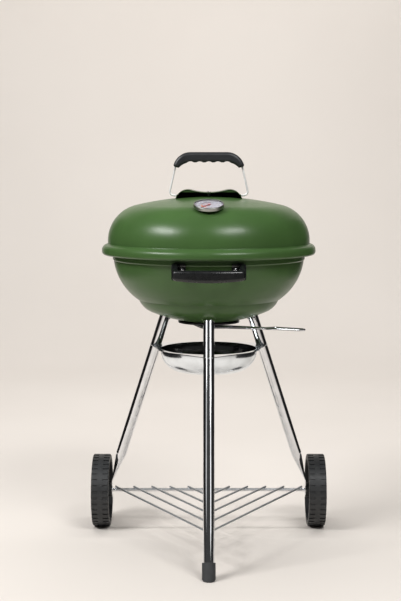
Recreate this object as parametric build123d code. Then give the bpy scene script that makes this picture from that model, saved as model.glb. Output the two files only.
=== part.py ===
from build123d import *
import math
import os

# Kettle charcoal grill on two legs with wheels and one leg with a foot, all sizes in mm.
# Built round the bowl's upright axis with the floor at z = 0 and the front toward -Y,
# then moved along Y so that the origin is under the middle of the whole object.

# Sheet metal and clearances
WALL = 1.2
FIT = 0.1
SEAT_GAP = 0.3
RUN_CLEARANCE = 0.06
TURN_GAP = 0.35

# Bowl
BOWL_R = 211.5
BOWL_BOTTOM_Z = 496.0
BOWL_DEPTH = 155.0
BOWL_SIDE_R = 125.0
BOWL_BOTTOM_R = 335.0
BOWL_CORNER_R = 45.0
BOWL_CORNER_CENTRE_R = 112.5
LEDGE_HEIGHT = 52.5
BASE_SEAM_RISE = 13.0
COLLAR_OUT = 1.0
COLLAR_DROP = 13.5
COLLAR_JOG = 2.5
RIM_LIP = 8.5
ROLL_R = 10.1
ROLL_END_DEG = -60.0

# Lid
LID_OVER = 10.5
BEAD_OVER = 13.0
BEAD_R = 13.0
LID_RISE = 103.5
CROWN_R = 700.0
SHOULDER_R = 80.0
CREASE_R = 2.5
SKIRT = 3.3
CURL_R = 7.0
CURL_END_DEG = -60.0

# Vents under the bowl and in the lid
VENTS = 3
VENT_HOLE_R = 15.0
VENT_RING_R = 34.0
VENT_FIRST_DEG = 60.0
DAMPER_R = 68.0
DAMPER_FLAT_R = 58.0
DAMPER_T = 1.0
DAMPER_DROP = 1.3
DAMPER_LIP = 3.0
PIVOT_R = 3.0
PIVOT_HEAD_R = 7.0
PIVOT_HEAD_T = 2.6
PIVOT_NUT_FLATS = 10.0
PIVOT_NUT_T = 5.0
LID_VENTS = 4
LID_VENT_HOLE_R = 8.0
LID_VENT_RING_R = 21.0
LID_VENT_R = 38.0
LID_VENT_AT_R = 105.0
LID_VENT_TAB = 12.0
LID_VENT_TAB_RISE = 9.0
RIVET_R = 2.5
RIVET_HEAD_R = 6.0
RIVET_HEAD_T = 2.2

# Damper lever, one bent wire with both runs side by side
LEVER_WIRE_R = 2.7
LEVER_SPREAD = 9.5
LEVER_BACK = 36.0
LEVER_REST_X = 15.0
LEVER_HANG = 9.6
LEVER_STRAIGHT = 40.0
LEVER_NECK_X = 126.0
LEVER_NECK_Y = 3.4
LEVER_LOOP_X = 148.0
LEVER_LOOP_Y = 12.0
LEVER_END_X = 198.0
LEVER_END_Y = 9.5
LEVER_TIP_X = 212.0
LEVER_TIP_Y = 5.0
LEVER_NECK_DROP = 3.4
LEVER_TIP_DROP = 6.2
LEVER_BENDS = (14.0, 30.0, 12.0, 14.0, 8.0, 4.0, 4.0, 8.0, 14.0, 12.0, 30.0, 14.0)

# Legs: azimuth of each, one tube size, the lower tube slips over a neck of the upper
FRONT_DEG = -90.0
RIGHT_DEG = 30.0
LEFT_DEG = 150.0
LEG_R = 12.0
LEG_WALL = 1.2
LEG_TOP_R = 110.0
LEG_TILT_DEG = 20.2
NECK_LENGTH = 40.0
SOCKET_WALL = 1.6
SOCKET_LENGTH = 4.0
SOCKET_WEB = 2.0
SOCKET_INSIDE = 40.0
STUD_LENGTH = 30.0
LEG_SCREW_R = 2.2
LEG_SCREW_HEAD_R = 4.2
LEG_SCREW_HEAD_T = 2.4
LEG_SCREW_LENGTH = 6.0
LEG_SCREW_AT = 12.0

# Front foot
CAP_R = 14.1
CAP_HEIGHT = 34.0
CAP_FLOOR = 7.0
CAP_CHAMFER = 3.0

# Flattened ends of the rear legs
FLAT_CREVICE = 0.8
FLAT_HALF = 17.5
FLAT_TOP_Z = 108.0
FLAT_START_Z = 175.0
FLAT_INSET = 6.6

# Wheels and axle
WHEEL_R = 83.5
WHEEL_WIDTH = 40.0
WHEEL_EDGE = 3.0
WHEEL_RIM_T = 12.0
WHEEL_WEB_T = 5.0
WHEEL_HUB_R = 17.0
HUB_PROUD = 1.2
HUB_SUNK = 11.0
WHEEL_RIBS = 6
RIB_T = 3.0
RIB_INSET = 12.0
TREADS = 38
TREAD_GAP = 5.0
TREAD_DEPTH = 1.8
TREAD_LENGTH = 14.0
AXLE_R = 4.0
AXLE_END = 7.0
WASHER_R = 9.0
WASHER_T = 1.0
AXLE_CAP_R = 12.0
AXLE_CAP_T = 9.0
AXLE_CAP_ROUND = 3.0

# Ash pan
PAN_R = 106.5
PAN_T = 1.2
PAN_Z = 438.0
PAN_DEPTH = 51.0
PAN_CORNER_R = 46.0
PAN_FLANGE_R = 115.0
EAR_R = 15.0
EAR_SPREAD_DEG = 34.0

# Shelf of wires between the legs
RACK_WIRE_R = 2.4
RACK_HALF = 218.0
RACK_PITCH = 42.5
RACK_LOOPS = 5
RACK_BEND_R = 9.0
RACK_WELD = 0.6
RACK_PAST_AXLE = 3.0
TAB_T = 1.6
TAB_W = 18.0
TAB_H = 26.0
TAB_UP = 7.0
TAB_SCREW_UP = 12.0
RACK_SCREW_R = 2.0
RACK_SCREW_HEAD_R = 4.0
RACK_SCREW_HEAD_T = 2.4

# Grates
GRATE_GAP = 10.5
GRATE_DROP = 14.0
GRATE_WIRE_R = 2.0
GRATE_PITCH = 14.4
COAL_GAP = 4.4
COAL_WIRE_R = 2.3
COAL_PITCH = 19.5
CROSS_AT = 0.5
GRATE_BAND = 5.0
GRATE_EDGE = 0.5
GRATE_WELD = 0.6
BRACKETS_DEG = (90.0, 210.0, 330.0)
BRACKET_SPAN_DEG = 6.0
BRACKET_SHELF = 15.0
BRACKET_RISE = 12.0
BRACKET_T = 1.6

# Carrying handle on the bowl
HANDLE_OUT = 42.5
HANDLE_T = 16.0
HANDLE_LOW_Z = 604.5
HANDLE_H = 25.5
HANDLE_SPAN_DEG = 34.4
HANDLE_ROUND = 6.5
HANDLE_BOW = 4.5
HANDLE_END_ROUND = 9.0
ARM_X = 70.0
ARM_W = 13.0
ARM_KNEE = 13.0
ARM_UP = 5.0
ARM_ROUND = 3.0
PAD_X = 62.5
PAD_W = 30.0
PAD_LOW_Z = 622.0
PAD_TOP_Z = 640.5
PAD_T = 6.0
PAD_ROUND = 5.0
HANDLE_SCREW_X = 53.2
HANDLE_SCREW_Z = 630.0
HANDLE_SCREW_R = 2.5
HANDLE_SCREW_HEAD_R = 4.3
HANDLE_SCREW_HEAD_T = 3.0
HANDLE_NUT_FLATS = 8.0
HANDLE_NUT_T = 3.6

# Lid handle and heat shield
BAIL_R = 2.1
BAIL_FOOT_X = 87.5
BAIL_TOP_X = 69.0
BAIL_TOP_RISE = 84.0
BAIL_FOOT_BEND = 9.0
BAIL_TOP_BEND = 26.0
GRIP_TOP = 10.7
GRIP_FLAT_X = 40.0
GRIP_END_X = 78.0
GRIP_END_DROP = 20.5
GRIP_TIP_X = 66.0
GRIP_TIP_DROP = 24.0
GRIP_UNDER_X = 40.0
GRIP_UNDER = 12.0
GRIP_WAVES = 4
GRIP_WAVE = 2.4
GRIP_FINGER_R = 12.0
GRIP_DEPTH = 27.0
GRIP_ROUND = 7.0
GRIP_END_ROUND = 4.0
SHIELD_T = 1.2
SHIELD_HUMP_X = 46.0
SHIELD_HUMP_RISE = 6.2
SHIELD_LIFT = 4.0
SPACER_R = 3.9
SHIELD_HUMP_R = 28.0
SHIELD_END_DEG = 5.0
SHIELD_DEPTH = 72.0
SHIELD_LIP = 0.4
SHIELD_BOLT_Y = 20.0
SHIELD_BOLT_R = 2.5
SHIELD_HEAD_R = 5.5
SHIELD_HEAD_T = 1.5
SHIELD_NUT_FLATS = 8.0
SHIELD_NUT_T = 4.0
BOLT_PAST_NUT = 1.5

# Thermometer
DIAL_AT_R = 165.0
CASE_R = 32.0
CASE_LIFT = 2.0
CASE_H = 8.0
CASE_WALL = 1.0
BEZEL_LIP = 2.4
CASE_ROUND = 1.6
DIAL_T = 0.6
DIAL_LIFT = 2.6
DIAL_SKIRT = 0.8
LENS_T = 1.2
NEEDLE_LENGTH = 23.0
NEEDLE_TAIL = 6.0
NEEDLE_W = 1.8
NEEDLE_T = 0.5
NEEDLE_HUB_R = 3.0
NEEDLE_PIN_R = 1.0
NEEDLE_LIFT = 0.5
NEEDLE_PIN = 2.0
NEEDLE_REST_DEG = -45.0
STEM_R = 5.0
STEM_COLLAR_R = 9.0
STEM_THREAD = 12.0
PROBE_R = 3.0
PROBE_LENGTH = 42.0
THERMO_NUT_FLATS = 14.0
THERMO_NUT_T = 4.5
THERMO_NUT_DROP = 0.7


def cosd(angle):
    return math.cos(math.radians(angle))


def sind(angle):
    return math.sin(math.radians(angle))


def asind(value):
    return math.degrees(math.asin(value))


# Places that follow from the sizes above
SIDE_Z = BOWL_BOTTOM_Z + BOWL_DEPTH
LEDGE_Z = BOWL_BOTTOM_Z + LEDGE_HEIGHT
BASE_SEAM_Z = LEDGE_Z + BASE_SEAM_RISE
COLLAR_Z = SIDE_Z - COLLAR_DROP
SIDE_CENTRE_R = BOWL_R - COLLAR_OUT - BOWL_SIDE_R
ROLL_Z = SIDE_Z + RIM_LIP
ROLL_CENTRE_R = BOWL_R - WALL + ROLL_R
CORNER_Z = BOWL_BOTTOM_Z + BOWL_BOTTOM_R - math.sqrt(
    (BOWL_BOTTOM_R - BOWL_CORNER_R) ** 2 - BOWL_CORNER_CENTRE_R**2
)
LID_R = BOWL_R + LID_OVER
RIM_R = LID_R + BEAD_OVER
CREASE_CENTRE_R = LID_R + CREASE_R
CREASE_REACH = ROLL_R + CREASE_R + WALL + SEAT_GAP
CREASE_Z = ROLL_Z + math.sqrt(CREASE_REACH**2 - (CREASE_CENTRE_R - ROLL_CENTRE_R) ** 2)
BEAD_CENTRE_R = RIM_R - BEAD_R
BEAD_START_DEG = math.degrees(math.acos((CREASE_CENTRE_R - BEAD_CENTRE_R) / (BEAD_R + CREASE_R)))
BEAD_Z = CREASE_Z - (BEAD_R + CREASE_R) * sind(BEAD_START_DEG)
LID_TOP_Z = CREASE_Z - CREASE_R + LID_RISE
CROWN_Z = LID_TOP_Z - CROWN_R
SHOULDER_CENTRE_R = LID_R - SHOULDER_R
SHOULDER_Z = CROWN_Z + math.sqrt((CROWN_R - SHOULDER_R) ** 2 - SHOULDER_CENTRE_R**2)
CROWN_EDGE_DEG = asind((SHOULDER_Z - CROWN_Z) / (CROWN_R - SHOULDER_R))
CROWN_EDGE_R = CROWN_R * cosd(CROWN_EDGE_DEG)
LEG_TOP_Z = BOWL_BOTTOM_Z + BOWL_BOTTOM_R - math.sqrt(BOWL_BOTTOM_R**2 - LEG_TOP_R**2)
SOCKET_R = LEG_R + FIT + SOCKET_WALL
STUD_R = LEG_R - LEG_WALL - FIT
HANDLE_R = BOWL_R + HANDLE_OUT
GRATE_Z = SIDE_Z - GRATE_DROP
AXLE_Z = WHEEL_R
FLAT_T = 2 * LEG_WALL + FLAT_CREVICE


def bowl_radius(z):
    """Outer radius of the bowl's side at a height."""
    return SIDE_CENTRE_R + math.sqrt(BOWL_SIDE_R**2 - (SIDE_Z - z) ** 2)


def leg_radius(z):
    return LEG_TOP_R + (LEG_TOP_Z - z) * math.tan(math.radians(LEG_TILT_DEG))


def leg_length(z):
    return (LEG_TOP_Z - z) / cosd(LEG_TILT_DEG)


def leg_place(azimuth):
    """Frame of a leg: origin at its top, Z up along the tube, X outward."""
    return Rot(0, 0, azimuth) * Pos(LEG_TOP_R, 0, LEG_TOP_Z) * Rot(0, -LEG_TILT_DEG, 0)


AXLE_Y = leg_radius(AXLE_Z) * sind(RIGHT_DEG)
FLAT_X = leg_radius(AXLE_Z) * cosd(RIGHT_DEG) - FLAT_INSET
HUB_X = FLAT_X + FLAT_T / 2 + FIT + WASHER_T + TURN_GAP
WHEEL_X = HUB_X + HUB_PROUD
HUB_END_X = WHEEL_X + WHEEL_WIDTH - HUB_SUNK
AXLE_HALF = HUB_END_X + AXLE_END
FOOT_REACH = leg_radius(CAP_CHAMFER) + CAP_R / cosd(LEG_TILT_DEG)
AXIS_Y = (FOOT_REACH - RIM_R) / 2
RACK_Z = AXLE_Z + AXLE_R + FIT + RACK_WIRE_R
EAR_DROP = leg_length(PAN_Z)
NECK_R = LEG_R - LEG_WALL - FIT
GRATE_R = bowl_radius(GRATE_Z) - GRATE_GAP
COAL_R = bowl_radius(LEDGE_Z) - COAL_GAP
BAIL_Z = LID_TOP_Z + FIT + BAIL_R
SHIELD_DIP_Z = BAIL_Z + BAIL_R + SHIELD_LIFT + SHIELD_T
BAIL_TOP_Z = BAIL_Z + BAIL_TOP_RISE


def lid_surface(radius):
    """Height and slope of the lid's outer face at a distance from the axis."""
    if radius <= CROWN_EDGE_R:
        return CROWN_Z + math.sqrt(CROWN_R**2 - radius**2), asind(radius / CROWN_R)
    across = radius - SHOULDER_CENTRE_R
    return SHOULDER_Z + math.sqrt(SHOULDER_R**2 - across**2), asind(across / SHOULDER_R)


def lid_place(radius, azimuth):
    """Frame on the lid's outer face with Z along the face's normal and X down the slope."""
    height, slope = lid_surface(radius)
    return Rot(0, 0, azimuth) * Pos(radius, 0, height) * Rot(0, slope, 0)


def arc(centre, radius, start, end):
    return CenterArc(centre, radius, start, end - start)


def chain(*points):
    return [Line(a, b) for a, b in zip(points, points[1:])]


def lathe(edges, degrees=360):
    """Solid turned round Z from a closed outline given as radius and height."""
    return revolve(Plane.XZ * Face(Wire(edges)), Axis.Z, degrees)


def turned(*points):
    return lathe(chain(*points, points[0]))


def rod(radius, low, high):
    return Pos(0, 0, low) * Cylinder(radius, high - low, align=(Align.CENTER, Align.CENTER, Align.MIN))


def tube(outer, inner, low, high):
    return rod(outer, low, high) - rod(inner, low, high)


def dome_head(radius, height, low):
    """Low domed screw head standing on z = low."""
    dome_r = (radius**2 + height**2) / (2 * height)
    edge = asind((dome_r - height) / dome_r)
    top = (0, low + height)
    profile = [arc((0, low + height - dome_r), dome_r, 90, edge)]
    return lathe(profile + chain((radius, low), (0, low), top))


def hex_nut(flats, bore, low, height):
    prism = extrude(RegularPolygon(flats / 2, 6, major_radius=False) - Circle(bore), height)
    return Pos(0, 0, low) * prism


def wire(path, radius):
    return sweep(Plane(origin=path @ 0, z_dir=path % 0) * Circle(radius), path)


def ring_of(tool, count, first=0.0):
    return [Rot(0, 0, first + i * 360 / count) * tool for i in range(count)]


def above(z):
    """Everything over a height, wider than the object."""
    return Pos(0, 0, z) * Box(4 * RIM_R, 4 * RIM_R, LID_TOP_Z, align=(Align.CENTER, Align.CENTER, Align.MIN))


def below(z):
    """Everything under a height, wider than the object."""
    return above(z - LID_TOP_Z)


def mirrored(shape):
    return mirror(shape, about=Plane.YZ)


def bowl_line(inset):
    """Bowl section from the bottom's middle to the end of the rolled rim, set in by inset."""
    bottom_r = BOWL_BOTTOM_R - inset
    corner_r = BOWL_CORNER_R - inset
    side_r = BOWL_SIDE_R - inset
    roll_r = ROLL_R - WALL + inset
    ledge = LEDGE_Z + inset
    collar_r = BOWL_R - inset
    bottom_end = -90 + asind(BOWL_CORNER_CENTRE_R / (BOWL_BOTTOM_R - BOWL_CORNER_R))
    corner_end = asind((ledge - CORNER_Z) / corner_r)
    side_start = asind((ledge - SIDE_Z) / side_r)
    side_end = asind((COLLAR_Z - COLLAR_JOG - SIDE_Z) / BOWL_SIDE_R)
    corner = arc((BOWL_CORNER_CENTRE_R, CORNER_Z), corner_r, bottom_end, corner_end)
    side = arc((SIDE_CENTRE_R, SIDE_Z), side_r, side_start, side_end)
    return [
        arc((0, BOWL_BOTTOM_Z + BOWL_BOTTOM_R), bottom_r, -90, bottom_end),
        corner,
        Line(corner @ 1, side @ 0),
        side,
        Line(side @ 1, (collar_r, COLLAR_Z)),
        Line((collar_r, COLLAR_Z), (collar_r, ROLL_Z)),
        arc((ROLL_CENTRE_R, ROLL_Z), roll_r, 180, ROLL_END_DEG),
    ]


def bowl_blank(grow):
    """The bowl as a filled body up to its rim, grown by a gap."""
    edges = bowl_line(-grow)[:-1]
    top = (0, ROLL_Z)
    return lathe(edges + chain(edges[-1] @ 1, top, edges[0] @ 0))


def lid_line(inset):
    """Lid section from the crown's middle to the end of the bead, set in by inset."""
    crown = arc((0, CROWN_Z), CROWN_R - inset, 90, CROWN_EDGE_DEG)
    shoulder = arc((SHOULDER_CENTRE_R, SHOULDER_Z), SHOULDER_R - inset, CROWN_EDGE_DEG, 0)
    crease = arc((CREASE_CENTRE_R, CREASE_Z), CREASE_R + inset, 180, 180 + BEAD_START_DEG)
    bead = arc((BEAD_CENTRE_R, BEAD_Z), BEAD_R - inset, BEAD_START_DEG, 0)
    curl = arc((RIM_R - CURL_R, BEAD_Z - SKIRT), CURL_R - inset, 0, CURL_END_DEG)
    return [
        crown,
        shoulder,
        Line(shoulder @ 1, crease @ 0),
        crease,
        bead,
        Line(bead @ 1, curl @ 0),
        curl,
    ]


def shell(line):
    """Sheet metal body between the outer line and the same line set in by the wall."""
    outer = line(0)
    inner = line(WALL)
    edges = outer + inner + [Line(outer[0] @ 0, inner[0] @ 0), Line(outer[-1] @ 1, inner[-1] @ 1)]
    return lathe(edges)


def make_bowl_base():
    """Pressed bottom of the bowl up to just over its ledge, with the vent holes and the pivot's hole."""
    base = shell(bowl_line) - above(BASE_SEAM_Z)
    vent = Pos(VENT_RING_R, 0, BOWL_BOTTOM_Z) * Cylinder(VENT_HOLE_R, BOWL_DEPTH / 2)
    pivot = Pos(0, 0, BOWL_BOTTOM_Z) * Cylinder(PIVOT_R + FIT, BOWL_DEPTH / 2)
    return base - ring_of(vent, VENTS, VENT_FIRST_DEG) - pivot


def make_bowl():
    """Side of the bowl between the base and the collar, with the holes of the handle's screws."""
    side = shell(bowl_line) - above(COLLAR_Z) - below(BASE_SEAM_Z)
    return side - [place * Cylinder(HANDLE_SCREW_R + FIT, BOWL_R / 4) for place in handle_screw_places()]


def make_bowl_rim():
    """Collar with the rolled rim, welded edge to edge on the bowl."""
    return shell(bowl_line) - below(COLLAR_Z)


def make_lid():
    lid = shell(lid_line)
    vent_place = lid_place(LID_VENT_AT_R, -FRONT_DEG)
    vent = Pos(LID_VENT_RING_R, 0, 0) * Cylinder(LID_VENT_HOLE_R, SHOULDER_R / 2)
    cuts = [vent_place * hole for hole in ring_of(vent, LID_VENTS, 180 / LID_VENTS)]
    cuts.append(vent_place * Cylinder(RIVET_R + FIT, SHOULDER_R / 2))
    cuts.append(lid_place(DIAL_AT_R, FRONT_DEG) * Cylinder(STEM_R + FIT, SHOULDER_R / 2))
    for y in (-SHIELD_BOLT_Y, SHIELD_BOLT_Y):
        cuts.append(Pos(0, y, LID_TOP_Z) * Cylinder(SHIELD_BOLT_R + FIT, SHOULDER_R / 2))
    return lid - cuts


def leg_screw_place():
    """Place in a leg's frame with Z out of the tube toward the bowl's axis."""
    return Pos(0, 0, -LEG_SCREW_AT) * Rot(0, -90, 0)


def leg_screw_hole():
    return leg_screw_place() * rod(LEG_SCREW_R + FIT, 0, 2 * SOCKET_R)


def make_socket(azimuth):
    """Collar round the top of a leg with a stud inside the tube, shaped to the bowl."""
    place = leg_place(azimuth)
    body = rod(SOCKET_R, -SOCKET_LENGTH, SOCKET_INSIDE) + rod(STUD_R, -STUD_LENGTH, 0)
    seat = place * tube(LEG_R + FIT, STUD_R, -STUD_LENGTH, SOCKET_INSIDE) - bowl_blank(SOCKET_WEB)
    return place * (body - leg_screw_hole()) - seat - bowl_blank(FIT)


def make_upper_leg(azimuth):
    """Tube from the bowl to the pan's ear, with a narrower neck that goes on through the ear."""
    place = leg_place(azimuth)
    inner = LEG_R - LEG_WALL
    neck_bore = NECK_R - LEG_WALL
    neck_top = LEG_R - EAR_DROP
    body = tube(LEG_R, inner, -EAR_DROP - LEG_R, SOCKET_INSIDE)
    body = body + tube(inner + LEG_WALL / 2, neck_bore, -EAR_DROP - LEG_R, neck_top)
    body = place * (body - leg_screw_hole()) - below(PAN_Z + FIT)
    neck = place * tube(NECK_R, neck_bore, -EAR_DROP - NECK_LENGTH, neck_top)
    return body + neck - bowl_blank(SOCKET_WEB + FIT)


def make_leg_screw():
    start = LEG_R + FIT
    screw = dome_head(LEG_SCREW_HEAD_R, LEG_SCREW_HEAD_T, start)
    return leg_screw_place() * (screw + rod(LEG_SCREW_R, start - LEG_SCREW_LENGTH, start))


def rack_screw_place():
    """Place in the front leg's frame with Z out of the tube's back."""
    return Pos(0, 0, TAB_SCREW_UP - leg_length(RACK_Z)) * Rot(0, -90, 0)


def make_front_lower_leg():
    body = tube(LEG_R, LEG_R - LEG_WALL, -leg_length(CAP_FLOOR), LEG_R - EAR_DROP)
    body = body - rack_screw_place() * rod(RACK_SCREW_R + FIT, 0, 2 * LEG_R)
    return leg_place(FRONT_DEG) * body - above(PAN_Z - PAN_T - FIT)


def make_foot_cap():
    top = -leg_length(CAP_HEIGHT)
    end = -leg_length(CAP_FLOOR) - FIT
    cap = leg_place(FRONT_DEG) * (rod(CAP_R, end - CAP_HEIGHT, top) - rod(LEG_R + FIT, end, top))
    floor = Pos(0, -leg_radius(0), 0) * Box(
        8 * CAP_R, 8 * CAP_R, 4 * CAP_HEIGHT, align=(Align.CENTER, Align.CENTER, Align.MAX)
    )
    cap = cap - floor
    return chamfer(cap.edges().group_by(Axis.Z)[0], CAP_CHAMFER)


def make_right_lower_leg():
    """Tube that runs down into a flattened end with a hole for the axle."""
    place = leg_place(RIGHT_DEG)
    start = -leg_length(FLAT_START_Z)
    straight = place * tube(LEG_R, LEG_R - LEG_WALL, start, LEG_R - EAR_DROP)
    straight = straight - above(PAN_Z - PAN_T - FIT)
    section = place * Pos(0, 0, start) * Rot(0, 0, 90 - RIGHT_DEG)
    oval = Pos(FLAT_X, AXLE_Y, FLAT_TOP_Z) * Rot(0, 0, 90)
    bore = oval * Ellipse(FLAT_HALF - LEG_WALL, FLAT_CREVICE / 2)
    press = loft([section * Circle(LEG_R), oval * Ellipse(FLAT_HALF, FLAT_T / 2)])
    press = press - loft([section * Circle(LEG_R - LEG_WALL), bore])
    blade = extrude(oval * Ellipse(FLAT_HALF, FLAT_T / 2), FLAT_TOP_Z - AXLE_Z + FLAT_HALF, dir=(0, 0, -1))
    hub_place = Pos(FLAT_X, AXLE_Y, AXLE_Z) * Rot(0, 90, 0)
    rounding = hub_place * Cylinder(FLAT_HALF, 2 * FLAT_T)
    upper = Pos(FLAT_X, AXLE_Y, AXLE_Z) * Box(
        2 * FLAT_T, 2 * FLAT_HALF, FLAT_TOP_Z, align=(Align.CENTER, Align.CENTER, Align.MIN)
    )
    blade = blade & (rounding + upper)
    return straight + press + blade - hub_place * Cylinder(AXLE_R + FIT, 4 * FLAT_T)


def make_ash_pan():
    floor = PAN_Z - PAN_DEPTH
    bend_r = PAN_R - PAN_CORNER_R
    bend_z = floor + PAN_CORNER_R
    inner = PAN_R - PAN_T
    under = arc((bend_r, bend_z), PAN_CORNER_R, -90, 0)
    inside = arc((bend_r, bend_z), PAN_CORNER_R - PAN_T, -90, 0)
    flange = chain(
        under @ 1,
        (PAN_R, PAN_Z - PAN_T),
        (PAN_FLANGE_R, PAN_Z - PAN_T),
        (PAN_FLANGE_R, PAN_Z),
        (inner, PAN_Z),
        inside @ 1,
    )
    base = chain(inside @ 0, (0, floor + PAN_T), (0, floor), under @ 0)
    pan = lathe([under, inside] + flange + base)
    reach = leg_radius(PAN_Z - PAN_T / 2)
    root_x = PAN_FLANGE_R * cosd(EAR_SPREAD_DEG)
    root_y = PAN_FLANGE_R * sind(EAR_SPREAD_DEG)
    sides = math.degrees(math.atan2(reach - root_x, root_y - EAR_R))
    tip_x = reach + EAR_R * cosd(sides)
    tip_y = EAR_R * sind(sides)
    corners = ((root_x, -root_y), (tip_x, -tip_y), (tip_x, tip_y), (root_x, root_y))
    outline = Pos(reach, 0) * Circle(EAR_R) + make_face(chain(*corners, corners[0]))
    ear = Pos(0, 0, PAN_Z - PAN_T) * extrude(outline - Circle(PAN_R - PAN_T / 2), PAN_T)
    azimuths = (FRONT_DEG, RIGHT_DEG, LEFT_DEG)
    neck = rod(NECK_R + FIT, -EAR_DROP - EAR_R, EAR_R - EAR_DROP)
    necks = [leg_place(azimuth) * neck for azimuth in azimuths]
    return pan + [Rot(0, 0, azimuth) * ear for azimuth in azimuths] - necks


def axle_place():
    """Frame of the axle with Z along +X."""
    return Pos(0, AXLE_Y, AXLE_Z) * Rot(0, 90, 0)


def make_wheel():
    """Moulded wheel on the right: rim with tread grooves, web, ribs and hub."""
    bore = AXLE_R + RUN_CLEARANCE
    rim_in = WHEEL_R - WHEEL_RIM_T
    end = WHEEL_X + WHEEL_WIDTH
    middle = WHEEL_X + WHEEL_WIDTH / 2
    web_in = middle - WHEEL_WEB_T / 2
    web_out = middle + WHEEL_WEB_T / 2
    shoulder_r = WHEEL_R - WHEEL_EDGE
    near = arc((shoulder_r, WHEEL_X + WHEEL_EDGE), WHEEL_EDGE, -90, 0)
    far = arc((shoulder_r, end - WHEEL_EDGE), WHEEL_EDGE, 0, 90)
    inner_side = chain(
        (bore, HUB_X),
        (WHEEL_HUB_R, HUB_X),
        (WHEEL_HUB_R, web_in),
        (rim_in, web_in),
        (rim_in, WHEEL_X),
        near @ 0,
    )
    outer_side = chain(
        far @ 1,
        (rim_in, end),
        (rim_in, web_out),
        (WHEEL_HUB_R, web_out),
        (WHEEL_HUB_R, HUB_END_X),
        (bore, HUB_END_X),
        (bore, HUB_X),
    )
    wheel = lathe(inner_side + [near, Line(near @ 1, far @ 0), far] + outer_side)
    rib_length = rim_in - WHEEL_HUB_R + WHEEL_EDGE
    rib = Pos((rim_in + WHEEL_HUB_R) / 2, 0, middle) * Box(rib_length, RIB_T, WHEEL_WIDTH - 2 * RIB_INSET)
    groove = Box(2 * TREAD_DEPTH, TREAD_GAP, 2 * TREAD_LENGTH)
    grooves = []
    for z in (WHEEL_X, end):
        grooves += ring_of(Pos(WHEEL_R, 0, z) * groove, TREADS, 180 / TREADS)
    return axle_place() * (wheel + ring_of(rib, WHEEL_RIBS) - grooves)


def make_axle_cap():
    low = HUB_END_X + TURN_GAP
    cap = rod(AXLE_CAP_R, low, low + AXLE_CAP_T)
    cap = fillet(cap.edges().group_by(Axis.Z)[-1], AXLE_CAP_ROUND)
    return axle_place() * (cap - rod(AXLE_R + FIT, low, AXLE_HALF + FIT))


def make_washer():
    low = FLAT_X + FLAT_T / 2 + FIT
    return axle_place() * tube(WASHER_R, AXLE_R + FIT, low, low + WASHER_T)


def make_rack():
    """Nested bent wires on a cross wire and a middle wire, with a tab for the front leg."""
    under_z = RACK_Z - 2 * RACK_WIRE_R + RACK_WELD
    cross_y = AXLE_Y - AXLE_R - RACK_WIRE_R - SEAT_GAP
    rear_y = AXLE_Y + RACK_PAST_AXLE
    front_gap = LEG_R + FIT + TAB_T + RACK_WIRE_R - RACK_WELD
    apex_y = front_gap / cosd(LEG_TILT_DEG) - leg_radius(RACK_Z)
    bend_y = apex_y + RACK_BEND_R
    run = rear_y - bend_y
    half_angle = math.atan2(RACK_HALF, run) - math.asin(RACK_BEND_R / math.hypot(RACK_HALF, run))
    tip_y = bend_y - RACK_BEND_R / math.sin(half_angle)
    lean = (rear_y - tip_y) / RACK_HALF
    wires = []
    for i in range(RACK_LOOPS):
        half = RACK_HALF - i * RACK_PITCH
        corner = (0, rear_y - half * lean, RACK_Z)
        path = FilletPolyline((-half, rear_y, RACK_Z), corner, (half, rear_y, RACK_Z), radius=RACK_BEND_R)
        wires.append(wire(path, RACK_WIRE_R))
    cross = Pos(0, cross_y, under_z) * Rot(0, 90, 0) * Cylinder(RACK_WIRE_R, 2 * RACK_HALF)
    spine_r = RACK_WIRE_R - RACK_WELD / 2
    spine = Pos(0, apex_y, under_z) * Rot(-90, 0, 0) * rod(spine_r, 0, cross_y - apex_y)
    tab_x = -LEG_R - FIT - TAB_T / 2
    tab = Pos(tab_x, 0, TAB_UP - leg_length(RACK_Z)) * Box(TAB_T, TAB_W, TAB_H)
    tab = leg_place(FRONT_DEG) * (tab - rack_screw_place() * rod(RACK_SCREW_R + FIT, 0, 4 * LEG_R))
    return cross + spine + wires + tab


def make_rack_screw():
    seat = LEG_R + 2 * FIT + TAB_T
    screw = dome_head(RACK_SCREW_HEAD_R, RACK_SCREW_HEAD_T, seat) + rod(RACK_SCREW_R, LEG_R / 2, seat)
    return leg_place(FRONT_DEG) * rack_screw_place() * screw


def make_grate(radius, wire_r, pitch, low):
    """Flat ring with a row of wires on two cross wires, all welded within its height."""
    cross_z = low + GRATE_EDGE + wire_r
    wire_z = cross_z + 2 * wire_r - GRATE_WELD
    ring = tube(radius + GRATE_BAND / 2, radius - GRATE_BAND / 2, low, wire_z + wire_r + GRATE_EDGE)
    across = radius * CROSS_AT
    pieces = []
    for x in (-across, across):
        length = 2 * math.sqrt(radius**2 - across**2)
        pieces.append(Pos(x, 0, cross_z) * Rot(90, 0, 0) * Cylinder(wire_r, length))
    half = int((radius - GRATE_BAND) / pitch)
    for i in range(-half, half + 1):
        y = i * pitch
        length = 2 * math.sqrt(radius**2 - y**2)
        pieces.append(Pos(0, y, wire_z) * Rot(0, 90, 0) * Cylinder(wire_r, length))
    return ring + pieces


def make_bracket():
    """Hook for the cooking grate, with its back shaped to the bowl's wall."""
    shelf = GRATE_Z - FIT
    wall_r = BOWL_R - WALL - FIT
    back = wall_r - BRACKET_T
    nose = wall_r - BRACKET_SHELF
    low = shelf - BRACKET_T
    high = shelf + BRACKET_RISE
    outline = ((nose, low), (BOWL_R, low), (BOWL_R, high), (back, high), (back, shelf), (nose, shelf))
    hook = lathe(chain(*outline, outline[0]), BRACKET_SPAN_DEG)
    return Rot(0, 0, -BRACKET_SPAN_DEG / 2) * hook & bowl_blank(-WALL - FIT)


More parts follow.
